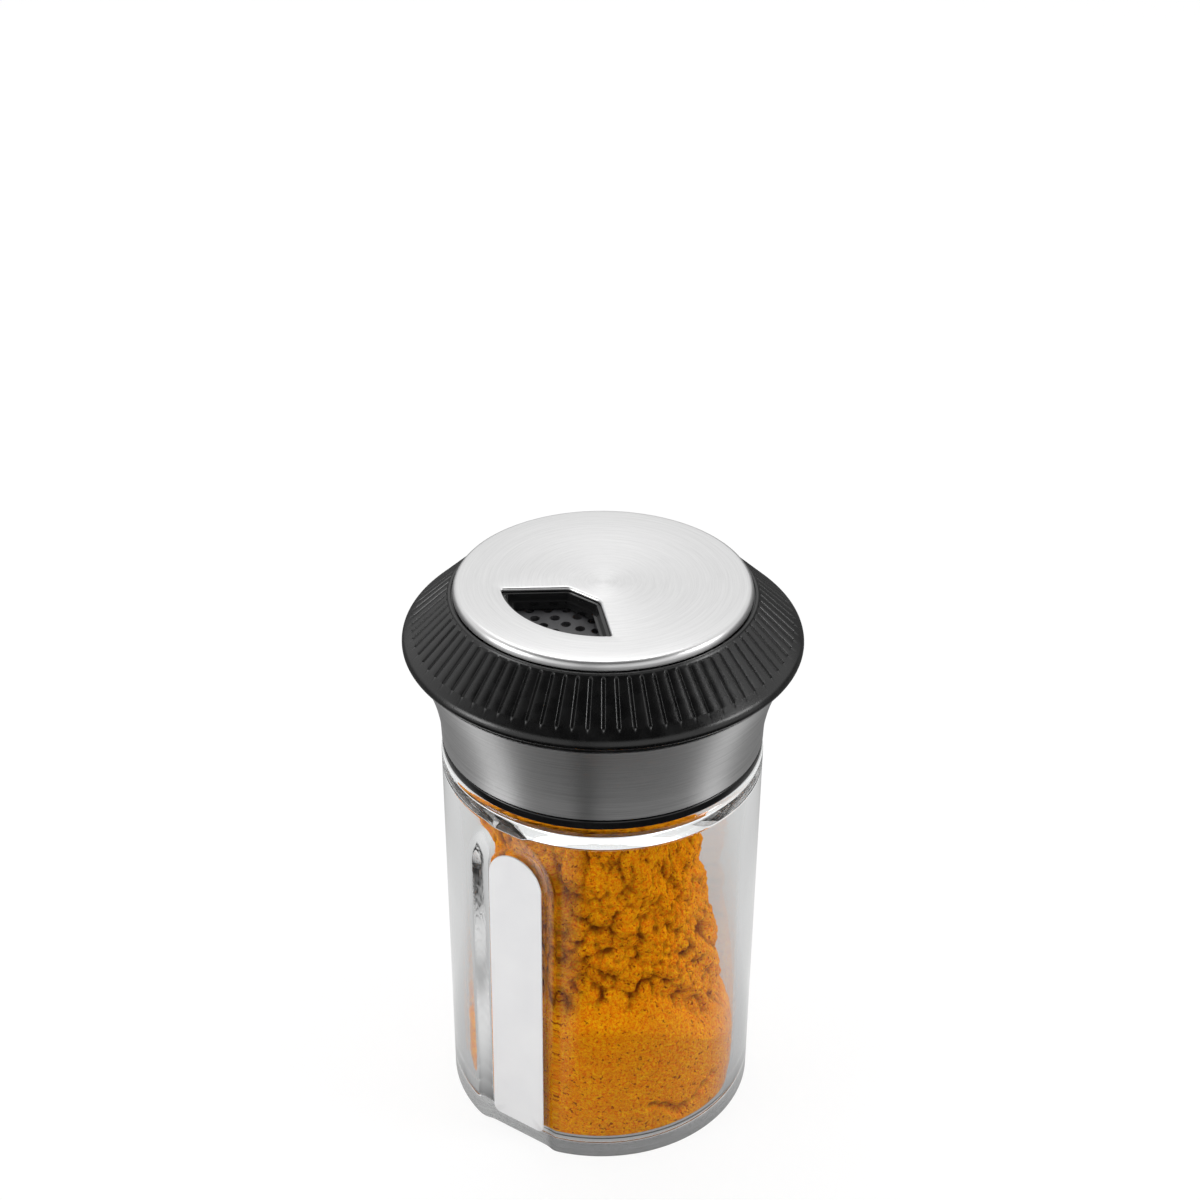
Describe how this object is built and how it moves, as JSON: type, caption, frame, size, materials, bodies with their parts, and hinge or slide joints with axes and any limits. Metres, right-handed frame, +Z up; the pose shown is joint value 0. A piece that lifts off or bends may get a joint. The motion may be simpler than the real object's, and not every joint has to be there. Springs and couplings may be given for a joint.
{
  "type": "spice shaker",
  "caption": "Glass spice jar with an orange powder inside, a blank label in an arched recess and a steel screw lid whose grip-ring dial opens a sieve or a pouring hole.",
  "frame": {"origin": "middle of the base, on the surface that the shaker stands on", "axes": "+Z up along the axis of the jar, -Y out of the label"},
  "size_m": [0.07, 0.07, 0.1073],
  "materials": {
    "clear_glass": "clear, polished",
    "label_paper": "matt, light grey",
    "orange_powder": "fine dry powder",
    "grey_silicone": "matt",
    "smooth_black_plastic": "glossy",
    "brushed_steel": "brushed round the band",
    "dark_grey_plastic": "satin",
    "grained_black_plastic": "fine grain",
    "bright_steel": "brushed in circles",
    "zinc_plated_steel": "zinc plated"
  },
  "bodies": {
    "jar": {"glass_jar": "clear_glass", "label": "label_paper", "spice_powder": "orange_powder"},
    "lift": {"jar_seal": "grey_silicone"},
    "lid": {"lid_collar": "smooth_black_plastic", "foot_ring": "smooth_black_plastic", "steel_band": "brushed_steel", "sieve_plate": "dark_grey_plastic"},
    "dial": {"grip_ring": "grained_black_plastic", "top_disc": "bright_steel", "dial_carrier": "smooth_black_plastic", "pivot_screw": "zinc_plated_steel", "pivot_washer": "zinc_plated_steel", "wave_spring": "zinc_plated_steel"}
  },
  "joints": [
    {"name": "lid_lift", "type": "slide", "parent": "jar", "child": "lift", "axis": [0, 0, 1], "range_m": [0, 0.013]},
    {"name": "lid_turn", "type": "hinge", "parent": "lift", "child": "lid", "pos_m": [0, 0, 0.0755], "axis": [0, 0, 1], "range_deg": [0, 1170]},
    {"name": "dial_turn", "type": "hinge", "parent": "lid", "child": "dial", "pos_m": [0, 0, 0.1035], "axis": [0, 0, 1], "range_deg": [-120, 120]}
  ],
  "couplings": [
    {"joint": "lid_lift", "follows": "lid_turn", "m_per_rad": 0.00063662}
  ]
}
